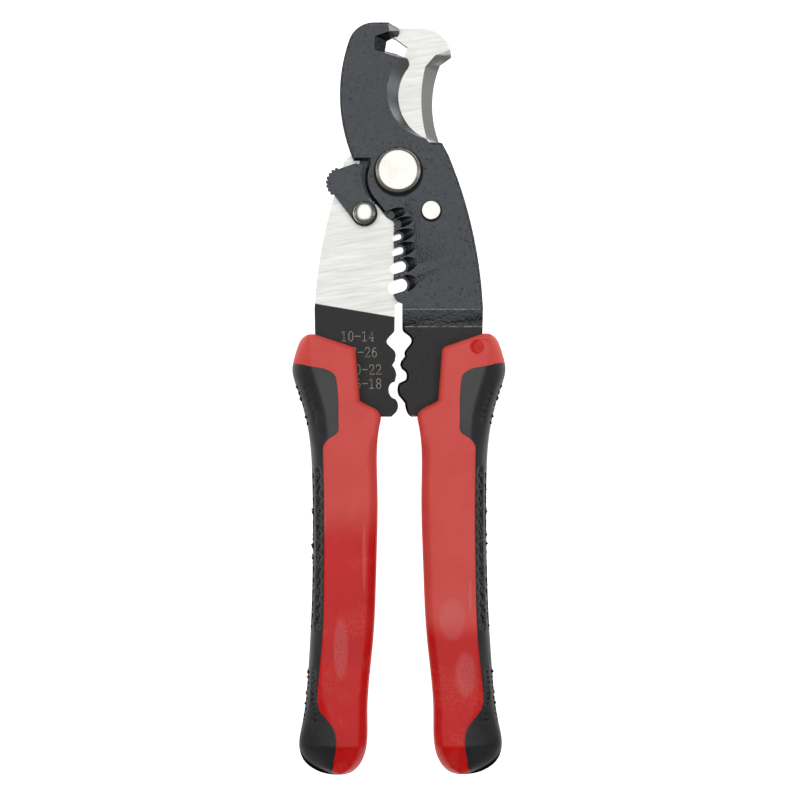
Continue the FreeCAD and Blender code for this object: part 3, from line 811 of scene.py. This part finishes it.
@dataclass
class Levers:
    """The two levers, with their ground edges and the gauge numbers beside the crimping dies."""

    die_bevel: float = 0.8
    low_plate_top: float = 9.6
    jaw_grind: tuple[Point, float] = ((11.3, 93.8), 15.2)
    tip_facet: tuple[Point, float] = ((0.0, 112.6), 3.4)
    # Painted shadows round the pivot bolt head and the stop pin, set a little towards -Y.
    painted_shadows: Sequence[tuple[float, float, float]] = ((0.1, 69.2, 7.75), (10.15, 57.2, 3.45))
    nodes: dict[str, Object] = field(default_factory=dict)

    def bare_mask(self, graph: Graph) -> NodeSocket:
        """Where the front lever's coat is ground away: its concave edge and its tip."""
        x, y, z = graph.axes(graph.object_space())
        ground = graph.disc(x, y, *self.jaw_grind, 0.12)
        facet = graph.disc(x, y, *self.tip_facet, 0.12)
        tilted = graph.step(graph.facing_up(), 0.985, 0.94)
        tip_side = graph.step(graph.math("ADD", x, graph.math("MULTIPLY", y, 0.25)), 25.2 * MM, 25.5 * MM)
        tip = graph.math("MULTIPLY", facet, tip_side)
        concave = graph.math("MULTIPLY", ground, tilted)
        upper = graph.step(z, 8.1 * MM, 8.3 * MM)
        jaws = graph.step(y, 77.0 * MM, 78.5 * MM)
        mask = graph.math("MAXIMUM", concave, tip)
        return graph.math("MULTIPLY", graph.math("MULTIPLY", mask, upper), jaws)

    def on_die(self, middle: Vector) -> bool:
        """Is an edge on the rim of the front lever's crimping plate, on the side of the dies?"""
        top = abs(middle.z - self.low_plate_top * MM) < 0.02 * MM
        return top and middle.x < 7.5 * MM and -6.0 * MM < middle.y < 21.9 * MM

    def build(self, groups: SharedGroups) -> None:
        """Makes both levers and the numbers."""
        front = merged(self.nodes["front_lever"])
        bmesh.ops.bevel(front, geom=corners(front, 60.0, self.on_die), offset=self.die_bevel * MM,
                        offset_type="OFFSET", segments=1, profile=0.5, affect="EDGES", material=-1,
                        clamp_overlap=False)
        finish = CoatedSteel(painted_shadows=self.painted_shadows).build(groups, self.bare_mask)
        piece = settle(front, "front_lever_skin", finish)
        seat(piece, Body.FRONT, Slot.COATED, "front_lever")
        rear = merged(self.nodes["rear_lever"])
        piece = settle(rear, "rear_lever_skin", GroundSteel().build(groups))
        seat(piece, Body.REAR, Slot.GROUND, "rear_lever")
        GaugeMarks(height=self.low_plate_top).build()


STROKES: dict[str, Sequence[Sequence[Point]]] = {
    "0": (((0.5, 0.25), (0.5, 0.75), (0.7, 1.0), (1.0, 1.0), (1.2, 0.75), (1.2, 0.25), (1.0, 0.0), (0.7, 0.0),
           (0.5, 0.25)),),
    "1": (((0.45, 0.85), (0.85, 1.0), (0.85, 0.0)), ((0.45, 0.0), (1.25, 0.0))),
    "2": (((0.45, 0.75), (0.6, 1.0), (1.05, 1.0), (1.2, 0.8), (1.15, 0.6), (0.45, 0.0), (1.25, 0.0),
           (1.25, 0.15)),),
    "4": (((1.0, 0.0), (1.0, 1.0), (0.4, 0.3), (1.3, 0.3)), ((0.75, 0.0), (1.25, 0.0))),
    "6": (((1.15, 0.9), (0.9, 1.0), (0.65, 0.85), (0.5, 0.5), (0.5, 0.2), (0.7, 0.0), (1.0, 0.0), (1.2, 0.2),
           (1.2, 0.4), (1.0, 0.58), (0.7, 0.58), (0.5, 0.4)),),
    "8": (((0.7, 0.53), (0.5, 0.7), (0.5, 0.85), (0.7, 1.0), (1.0, 1.0), (1.2, 0.85), (1.2, 0.7), (1.0, 0.53),
           (0.7, 0.53), (0.5, 0.35), (0.5, 0.15), (0.7, 0.0), (1.0, 0.0), (1.2, 0.15), (1.2, 0.35),
           (1.0, 0.53)),),
    "-": (((0.3, 0.5), (1.35, 0.5)),),
}


@dataclass
class GaugeMarks:
    """Wire gauge ranges etched beside the crimping dies, as thin stroked numerals."""

    height: float
    digit_height: float = 2.9
    digit_pitch: float = 2.1
    digit_width: float = 1.75
    stroke: float = 0.11
    proud: float = 0.02
    rows: Sequence[tuple[str, float, float]] = (
        ("10-14", -7.0, 17.6), ("22-26", -6.1, 12.7), ("20-22", -4.8, 7.4), ("16-18", -4.8, 3.1),
    )

    def stroke_mesh(self, name: str, text: str, right: float, base: float, finish: Material) -> Object:
        """Draws one row of numerals as a flat curve and makes it a mesh.

        Args:
            name: the object's name.
            text: the characters.
            right: right end of the row.
            base: foot of the characters.
            finish: the strokes' material.

        Returns:
            The object.
        """
        curve = bpy.data.curves.new(name, "CURVE")
        curve.dimensions = "3D"
        curve.bevel_depth = self.stroke * MM
        curve.bevel_resolution = 1
        left = right - self.digit_pitch * len(text)
        for index, character in enumerate(text):
            for line in STROKES[character]:
                spline = curve.splines.new("POLY")
                spline.points.add(len(line) - 1)
                for point, (u, v) in zip(spline.points, line):
                    x = left + self.digit_pitch * index + (u - 0.3) * self.digit_width
                    point.co = (x * MM, (base + v * self.digit_height) * MM, 0.0, 1.0)
        drawn = bpy.data.objects.new(name, curve)
        mesh = bpy.data.meshes.new_from_object(drawn)
        bpy.data.objects.remove(drawn)
        shape = bmesh.new()
        shape.from_mesh(mesh)
        bpy.data.meshes.remove(mesh)
        flatten = Matrix.Diagonal((1.0, 1.0, self.proud / self.stroke, 1.0))
        bmesh.ops.transform(shape, matrix=flatten, verts=shape.verts)
        bmesh.ops.translate(shape, verts=shape.verts, vec=(0.0, 0.0, self.height * MM))
        bmesh.ops.recalc_face_normals(shape, faces=shape.faces)
        return settle(shape, name, finish)

    def build(self) -> None:
        """Makes every row."""
        finish = EtchedMark().build()
        for index, (text, right, base) in enumerate(self.rows):
            piece = self.stroke_mesh(f"gauge_mark_{index + 1}", text, right, base, finish)
            seat(piece, Body.REAR, Slot.GROUND)


# ---- pivot, pins and spring ----

HEAD_SEAT = 11.25        # underside of the heads of the bolt and the stop pin
REAR_UNDERSIDE = 4.775   # lower face of the rear lever


def round_size(node: str) -> tuple[float, float, float]:
    """Radius, bottom and top of a round upright node, in millimetres."""
    low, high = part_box(node)
    return (high.x - low.x) / 2 / MM, low.z / MM, high.z / MM


@dataclass
class PivotSet:
    """Pivot bolt, washer, nut, return spring and stop pin."""

    nodes: dict[str, Object]
    head_round: float = 0.35
    crown: float = 0.12
    pin_round: float = 0.15

    @staticmethod
    def axis(node: str) -> Point:
        """Middle of a round node, in millimetres."""
        low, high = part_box(node)
        return (low.x + high.x) / 2 / MM, (low.y + high.y) / 2 / MM

    def bolt(self) -> bmesh.types.BMesh:
        """Bolt with a low crowned, bevelled head and a stepped shank."""
        radius, bottom, top = round_size("pivot_bolt")
        shank_end, bevel = 4.8, 1.0
        profile = [
            (0.0, top), (0.5 * (radius - bevel), top - 0.15 * self.crown), (radius - bevel, top - self.crown),
            (radius, top - 0.75), (radius, HEAD_SEAT), (4.0, HEAD_SEAT), (4.0, shank_end),
            (3.0, shank_end), (3.0, bottom + 0.3), (2.7, bottom), (0.0, bottom),
        ]
        return spun(self.axis("pivot_bolt"), profile, ((2, self.head_round), (3, self.head_round)))

    def washer(self) -> bmesh.types.BMesh:
        """Flat washer with rolled edges."""
        shape = merged(self.nodes["pivot_washer"])
        soften(shape, corners(shape, 60.0), 0.12 * MM, 3)
        return shape

    def build(self, groups: SharedGroups) -> None:
        """Makes the five pieces."""
        nickel = BrightMetal().build(groups)
        seat(settle(self.bolt(), "pivot_bolt_skin", nickel), Body.REAR, Slot.BRIGHT, "pivot_bolt")
        seat(settle(self.washer(), "pivot_washer_skin", nickel), Body.REAR, Slot.BRIGHT, "pivot_washer")
        nut = merged(self.nodes["pivot_nut"])
        soften(nut, corners(nut, 40.0), 0.12 * MM, 2)
        seat(settle(nut, "pivot_nut_skin", nickel), Body.REAR, Slot.BRIGHT, "pivot_nut")
        radius, bottom, top = round_size("stop_pin")
        pin = spun(self.axis("stop_pin"), [
            (0.0, top), (radius * 0.5, top - 0.02), (radius, top - 0.05), (radius, HEAD_SEAT), (1.5, HEAD_SEAT),
            (1.5, bottom), (0.0, bottom),
        ], ((2, self.pin_round),))
        seat(settle(pin, "stop_pin_skin", nickel), Body.FRONT, Slot.BRIGHT, "stop_pin")
        spring = self.nodes["return_spring"]
        spring.data.materials.clear()
        spring.data.materials.append(SpringWire().build(groups))


@dataclass
class LatchSet:
    """Locking latch with its domed rivet and thin washer."""

    nodes: dict[str, Object]
    edge_round: float = 0.3

    def build(self, groups: SharedGroups) -> None:
        """Makes the three pieces."""
        latch = merged(self.nodes["lock_latch"])
        top = max(v.co.z for v in latch.verts)
        rim = corners(latch, 60.0, lambda middle: abs(middle.z - top) < 1e-6)
        soften(latch, rim, self.edge_round * MM, 3)
        # The dark disc round the latch rivet is a painted shadow.
        coated = CoatedSteel(name="latch_steel", coat=(0.014, 0.020, 0.027), mottled=(0.026, 0.033, 0.041),
                             painted_shadows=((-10.2, 56.2, 4.2),))
        seat(settle(latch, "lock_latch_skin", coated.build(groups)), Body.LATCH, Slot.COATED, "lock_latch")
        nickel = BrightMetal(name="rivet_nickel", shine=(0.18, 0.36)).build(groups)
        radius, bottom, top = round_size("latch_rivet")
        foot, rim_height, crown, shank, steps = 11.075, 0.25, 0.9, 2.0, 10
        dome = [(0.0, top), (crown, top)]
        for i in range(1, steps + 1):
            turn = math.radians(90.0 * i / steps)
            dome.append((crown + (radius - crown) * math.sin(turn),
                         foot + rim_height + (top - foot - rim_height) * math.cos(turn)))
        rivet = spun(PivotSet.axis("latch_rivet"), dome + [
            (radius, foot), (shank, foot), (shank, REAR_UNDERSIDE), (2.9, REAR_UNDERSIDE), (2.9, bottom + 0.4),
            (2.5, bottom), (0.0, bottom),
        ], ((1, 0.25),))
        seat(settle(rivet, "latch_rivet_skin", nickel), Body.REAR, Slot.BRIGHT, "latch_rivet")
        washer = merged(self.nodes["latch_washer"])
        seat(settle(washer, "latch_washer_skin", nickel), Body.REAR, Slot.BRIGHT, "latch_washer")


# ---- grips ----


@dataclass
class Grip:
    """One grip: hard red body and soft black cover, shaped on a finely cut copy of the solids.

    The shaping works in the left grip's place. The right grip is moved there and back.
    """

    nodes: dict[str, Object]
    side: Side
    thick: float = 16.0
    splay: float = 0.5
    pivot: Point = (0.0, 69.6)
    cut: float = 0.5
    seam: float = 0.35
    skin_reach: float = 0.35
    edge_zone: float = 2.05
    core_half: float = 2.5
    # line where the level top ends and the outer side begins to fall away: (y, x)
    crest: Sequence[Point] = (
        (20.0, -27.4), (10.0, -26.3), (1.8, -23.7), (-5.0, -21.8), (-11.8, -21.2), (-16.0, -22.3),
        (-57.0, -22.2), (-75.0, -22.8), (-85.0, -23.4), (-92.0, -22.6), (-98.0, -20.6), (-104.0, -18.6),
        (-110.0, -17.6), (-115.0, -17.0),
    )
    fall: Sequence[Point] = ((20.0, 4.6), (8.0, 5.6), (-10.0, 5.0), (-30.0, 4.2), (-88.0, 4.2), (-98.0, 5.0))
    inner_round: Point = (2.5, 3.0)
    heel: Point = (-106.0, 3.4)
    solid_end: float = -112.9
    scales: Point = (-21.6, -69.8)
    scale_pitch: float = 3.55
    scale_groove: float = 0.6
    upper_ribs: tuple[float, float, float] = (4.2, -8.6, 2.15)
    lower_ribs: tuple[float, float, float] = (-81.6, -99.6, 1.62)
    rib_depth: float = 0.5
    gate: tuple[float, float, float] = (-24.75, 15.6, 2.7)
    outer: list[Point] = field(default_factory=list)
    inner: list[Point] = field(default_factory=list)

    def home(self) -> Matrix:
        """Transform from this grip's place to the left grip's place."""
        if self.side is Side.LEFT:
            return Matrix.Identity(4)
        centre = Matrix.Translation((self.pivot[0] * MM, self.pivot[1] * MM, 0.0))
        turn = Matrix.Rotation(-math.radians(self.splay), 4, "Z")
        return Matrix.Diagonal((-1.0, 1.0, 1.0, 1.0)) @ centre @ turn @ centre.inverted()

    def sliced(self, node: str) -> bmesh.types.BMesh:
        """Copy of a node in the left grip's place, rounded at its seams and cut into small faces."""
        shape = merged(self.nodes[node])
        bmesh.ops.transform(shape, matrix=self.home(), verts=shape.verts)
        if self.side is Side.RIGHT:
            bmesh.ops.reverse_faces(shape, faces=shape.faces)
        rim = (self.thick - 0.02) * MM
        seams = corners(shape, 60.0, lambda middle: middle.z > rim or middle.z < 0.02 * MM)
        soften(shape, seams, self.seam * MM, 2)
        low = [min(v.co[i] for v in shape.verts) for i in range(3)]
        high = [max(v.co[i] for v in shape.verts) for i in range(3)]
        for i, step in ((1, self.cut), (2, 1.25 * self.cut), (0, 1.25 * self.cut)):
            normal = Vector([1.0 if i == k else 0.0 for k in range(3)])
            first = math.ceil((low[i] + 1e-5) / (step * MM))
            last = math.floor((high[i] - 1e-5) / (step * MM))
            for k in range(first, last + 1):
                bmesh.ops.bisect_plane(shape, geom=shape.verts[:] + shape.edges[:] + shape.faces[:],
                                       dist=1e-7, plane_co=normal * (k * step * MM), plane_no=normal)
        return shape

    def measure(self, shapes: Sequence[bmesh.types.BMesh]) -> None:
        """Reads the outer and inner outline of the grip at each cut across it."""
        rows: dict[int, list[float]] = {}
        for shape in shapes:
            for vert in shape.verts:
                row = round(vert.co.y / (self.cut * MM))
                if abs(vert.co.y / (self.cut * MM) - row) < 1e-3:
                    rows.setdefault(row, []).append(vert.co.x / MM)
        order = sorted(rows, reverse=True)
        self.outer = [(row * self.cut, min(rows[row])) for row in order]
        self.inner = [(row * self.cut, max(rows[row])) for row in order]

    def drop(self, x: float, y: float) -> tuple[float, float]:
        """How far the top lies below the full thickness at a point.

        Args:
            x: place across the grip.
            y: place along the grip.

        Returns:
            The drop, and the share of the way down the outer side.
        """
        crest, edge, fall = along(self.crest, y), along(self.outer, y), along(self.fall, y)
        share = min(max((crest - x) / max(crest - edge, 0.5), 0.0), 1.0)
        low = fall * (0.42 * share + 0.58 * (1.0 - math.sqrt(1.0 - share * share)))
        if y < -9.0:
            width, depth = self.inner_round
            rim = along(self.inner, y)
            near = min(max((x - rim + width) / width, 0.0), 1.0)
            easing = smoothstep(-9.0, -16.0, y)
            low += easing * depth * (0.5 * near + 0.5 * (1.0 - math.sqrt(1.0 - near * near)))
        start, end_drop = self.heel
        low += end_drop * max((start - y) / (start + 115.0), 0.0)
        return low, share

    def skin(self, co: Vector) -> bool:
        """Is a point on the outside of the grip?"""
        x, y, z = co.x / MM, co.y / MM, co.z / MM
        outside = min(abs(x - along(self.outer, y)), abs(x - along(self.inner, y))) < self.skin_reach
        return abs(z - self.thick / 2) > self.thick / 2 - self.edge_zone or outside or y < self.solid_end

    def reshape(self, shape: bmesh.types.BMesh) -> None:
        """Gives a sliced solid the grip's crest, falling sides, heel slope and round edges."""
        middle = self.thick / 2
        for vert in shape.verts:
            if not self.skin(vert.co):
                continue
            x, y, z = vert.co.x / MM, vert.co.y / MM, vert.co.z / MM
            low, _ = self.drop(x, y)
            half = abs(z - middle)
            sign = 1.0 if z > middle else -1.0
            if half > middle - self.edge_zone:
                rounding = middle - half
                new = middle - max(low, rounding) if low < 2.0 else middle - low - 0.15 * rounding
                new = min(new, middle - rounding) if rounding < 2.0 else new
            elif half > self.core_half:
                room = middle - max(low, self.edge_zone) - self.core_half
                full = middle - self.edge_zone - self.core_half
                new = self.core_half + (half - self.core_half) * room / full
            else:
                new = half
            vert.co.z = (middle + sign * new) * MM

    def scale_depth(self, x: float, y: float, z: float) -> float:
        """Depth of the scaly texture: each scale rises towards its lower end, with a groove round it."""
        top, end = self.scales
        if not end - 1.0 < y < top + 1.0:
            return 0.0
        _, share = self.drop(x, y)
        if share < 0.2:
            return 0.0
        across = (along(self.crest, y) - x) + (self.thick / 2 - abs(z - self.thick / 2))
        u = (across - 2.1) / 2.7
        column = round(u)
        v = (y - top) / self.scale_pitch + 0.5 * (column % 2)
        along_scale = v - round(v)
        edge = max(2.0 * abs(along_scale), abs(along_scale) + 1.72 * abs(u - column))
        groove = smoothstep(0.66, 0.92, edge)
        tilt = 0.55 * (0.5 + along_scale)
        fade = smoothstep(0.18, 0.30, share) * smoothstep(top + 1.0, top, y) * smoothstep(end - 1.0, end, y)
        return fade * self.scale_groove * max(groove, tilt)

    def rib_groove(self, x: float, y: float, ribs: tuple[float, float, float], slant: float,
                   start: float) -> float:
        """Depth of the grooves of one row of ribs across the outer side."""
        top, end, pitch = ribs
        _, share = self.drop(x, y)
        place = y + slant * x
        if not end < y < top or share < start:
            return 0.0
        wave = 0.5 - 0.5 * math.cos(math.tau * place / pitch)
        ends = smoothstep(top, top - 1.0, y) * smoothstep(end, end + 1.0, y)
        fade = smoothstep(start, start + 0.2, share) * ends
        return fade * self.rib_depth * wave ** 1.5

    def detail(self, shape: bmesh.types.BMesh, cover: bool) -> None:
        """Presses the texture, the ribs and the gate mark into the surface."""
        shape.normal_update()
        hollow = shape.verts.layers.float.new("hollow")
        moves = []
        for vert in shape.verts:
            if not self.skin(vert.co):
                continue
            x, y, z = vert.co.x / MM, vert.co.y / MM, vert.co.z / MM
            depth = 0.0
            if cover:
                depth = self.scale_depth(x, y, z)
                depth += self.rib_groove(x, y, self.upper_ribs, -0.55, 0.45)
                depth += self.rib_groove(x, y, self.lower_ribs, 0.0, 0.35)
            elif self.side is Side.RIGHT and z > self.thick / 2:
                gate_x, gate_y, radius = self.gate
                away = math.hypot(x - gate_x, y - gate_y)
                depth = 0.45 * smoothstep(radius, radius - 0.5, away) - 0.2 * smoothstep(0.8, 0.5, away)
            # hollow holds the groove depth, which the rubber paints as shade.
            vert[hollow] = max(depth, 0.0) / self.scale_groove
            if depth:
                moves.append((vert, vert.normal * (-depth * MM)))
        for vert, move in moves:
            vert.co += move

    def build(self, groups: SharedGroups, red: Material, rubber: Material) -> None:
        """Makes the body and the cover."""
        side = self.side.value
        rides = Body.REAR if self.side is Side.LEFT else Body.FRONT
        body = self.sliced(f"{side}_grip_body")
        cover = self.sliced(f"{side}_grip_cover")
        self.measure((body, cover))
        back = self.home().inverted()
        for shape, part, finish, slot in (
            (body, "body", red, Slot.RED),
            (cover, "cover", rubber, Slot.RUBBER),
        ):
            self.reshape(shape)
            self.detail(shape, part == "cover")
            bmesh.ops.transform(shape, matrix=back, verts=shape.verts)
            if self.side is Side.RIGHT:
                bmesh.ops.reverse_faces(shape, faces=shape.faces)
            name = f"{side}_grip_{part}"
            seat(settle(shape, f"{name}_skin", finish, 40.0), rides, slot, name)


# ---- studio ----


@dataclass
class Studio:
    """Pale lit floor, overhead soft light and a long-lens camera straight above."""

    view_width: float = 244.35
    view_centre: Point = (0.6, -0.46)
    lens: float = 135.0
    sensor: float = 36.0
    object_level: float = 11.0
    floor_glow: float = 0.92
    roof: tuple[float, float, float, float] = (-0.42, 0.42, -0.28, 0.85)
    roof_height: float = 0.75
    roof_glow: float = 1.95
    wall_glow: float = 0.5
    surround: float = 0.15

    def floor(self) -> None:
        """Floor plane, lit from within like a light table."""
        shape = bmesh.new()
        bmesh.ops.create_grid(shape, x_segments=1, y_segments=1, size=3.0)
        bmesh.ops.translate(shape, verts=shape.verts, vec=(0.0, 0.0, -0.0002))
        material, _, shader = principled("pale_floor", roughness=0.8, specular=0.2)
        shader.inputs["Base Color"].default_value = (0.85, 0.85, 0.85, 1.0)
        shader.inputs["Emission Color"].default_value = (1.0, 1.0, 1.0, 1.0)
        shader.inputs["Emission Strength"].default_value = self.floor_glow
        settle(shape, "floor", material)

    @staticmethod
    def panel(name: str, wide: float, long: float, glow: float, place: Vector) -> None:
        """Rectangular soft light that faces the tool.

        Args:
            name: the light's name.
            wide: its first side in metres.
            long: its second side in metres.
            glow: its radiance.
            place: its middle.
        """
        data = bpy.data.lights.new(name, "AREA")
        data.shape = "RECTANGLE"
        data.size = wide
        data.size_y = long
        data.energy = glow * math.pi * wide * long
        lamp = bpy.data.objects.new(name, data)
        lamp.location = place
        if abs(place.x) > 0.5:
            lamp.rotation_euler = (-place).to_track_quat("-Z", "Y").to_euler()
        lamp.visible_camera = False
        bpy.context.scene.collection.objects.link(lamp)

    def lights(self) -> None:
        """One large light above, two low ones beside the tool and a dim surround."""
        west, east, south, north = self.roof
        self.panel("overhead", east - west, north - south, self.roof_glow,
                   Vector(((west + east) / 2, (south + north) / 2, self.roof_height)))
        for side in (-1.0, 1.0):
            self.panel(f"side_{'left' if side < 0 else 'right'}", 0.45, 1.3, self.wall_glow,
                       Vector((1.2 * side, 0.0, 0.38)))
        world = bpy.data.worlds.new("surround")
        world.use_nodes = True
        shade = world.node_tree.nodes["Background"]
        shade.inputs["Color"].default_value = (1.0, 1.0, 1.0, 1.0)
        shade.inputs["Strength"].default_value = self.surround
        bpy.context.scene.world = world

    def camera(self) -> None:
        """Camera above the middle of the view, looking straight down."""
        data = bpy.data.cameras.new("camera")
        data.lens = self.lens
        data.sensor_width = self.sensor
        data.clip_end = 20.0
        distance = self.view_width * self.lens / self.sensor
        camera = bpy.data.objects.new("camera", data)
        camera.location = (self.view_centre[0] * MM, self.view_centre[1] * MM,
                           (self.object_level + distance) * MM)
        camera.rotation_euler = Euler((0.0, 0.0, 0.0))
        bpy.context.scene.collection.objects.link(camera)
        bpy.context.scene.camera = camera

    def build(self) -> None:
        """Makes the studio."""
        bpy.context.scene.view_settings.view_transform = "Standard"
        self.floor()
        self.lights()
        self.camera()


def main() -> None:
    """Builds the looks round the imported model."""
    logging.basicConfig(level=logging.INFO, format="%(name)s %(message)s", stream=sys.stdout)
    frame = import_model()
    nodes = frame["nodes"]
    groups = SharedGroups()
    Studio().build()
    Levers(nodes=nodes).build(groups)
    PivotSet(nodes=nodes).build(groups)
    LatchSet(nodes=nodes).build(groups)
    red = RedPlastic().build(groups)
    rubber = SoftRubber().build(groups)
    for side in Side:
        Grip(nodes=nodes, side=side).build(groups, red, rubber)


if __name__ == "__main__":
    main()
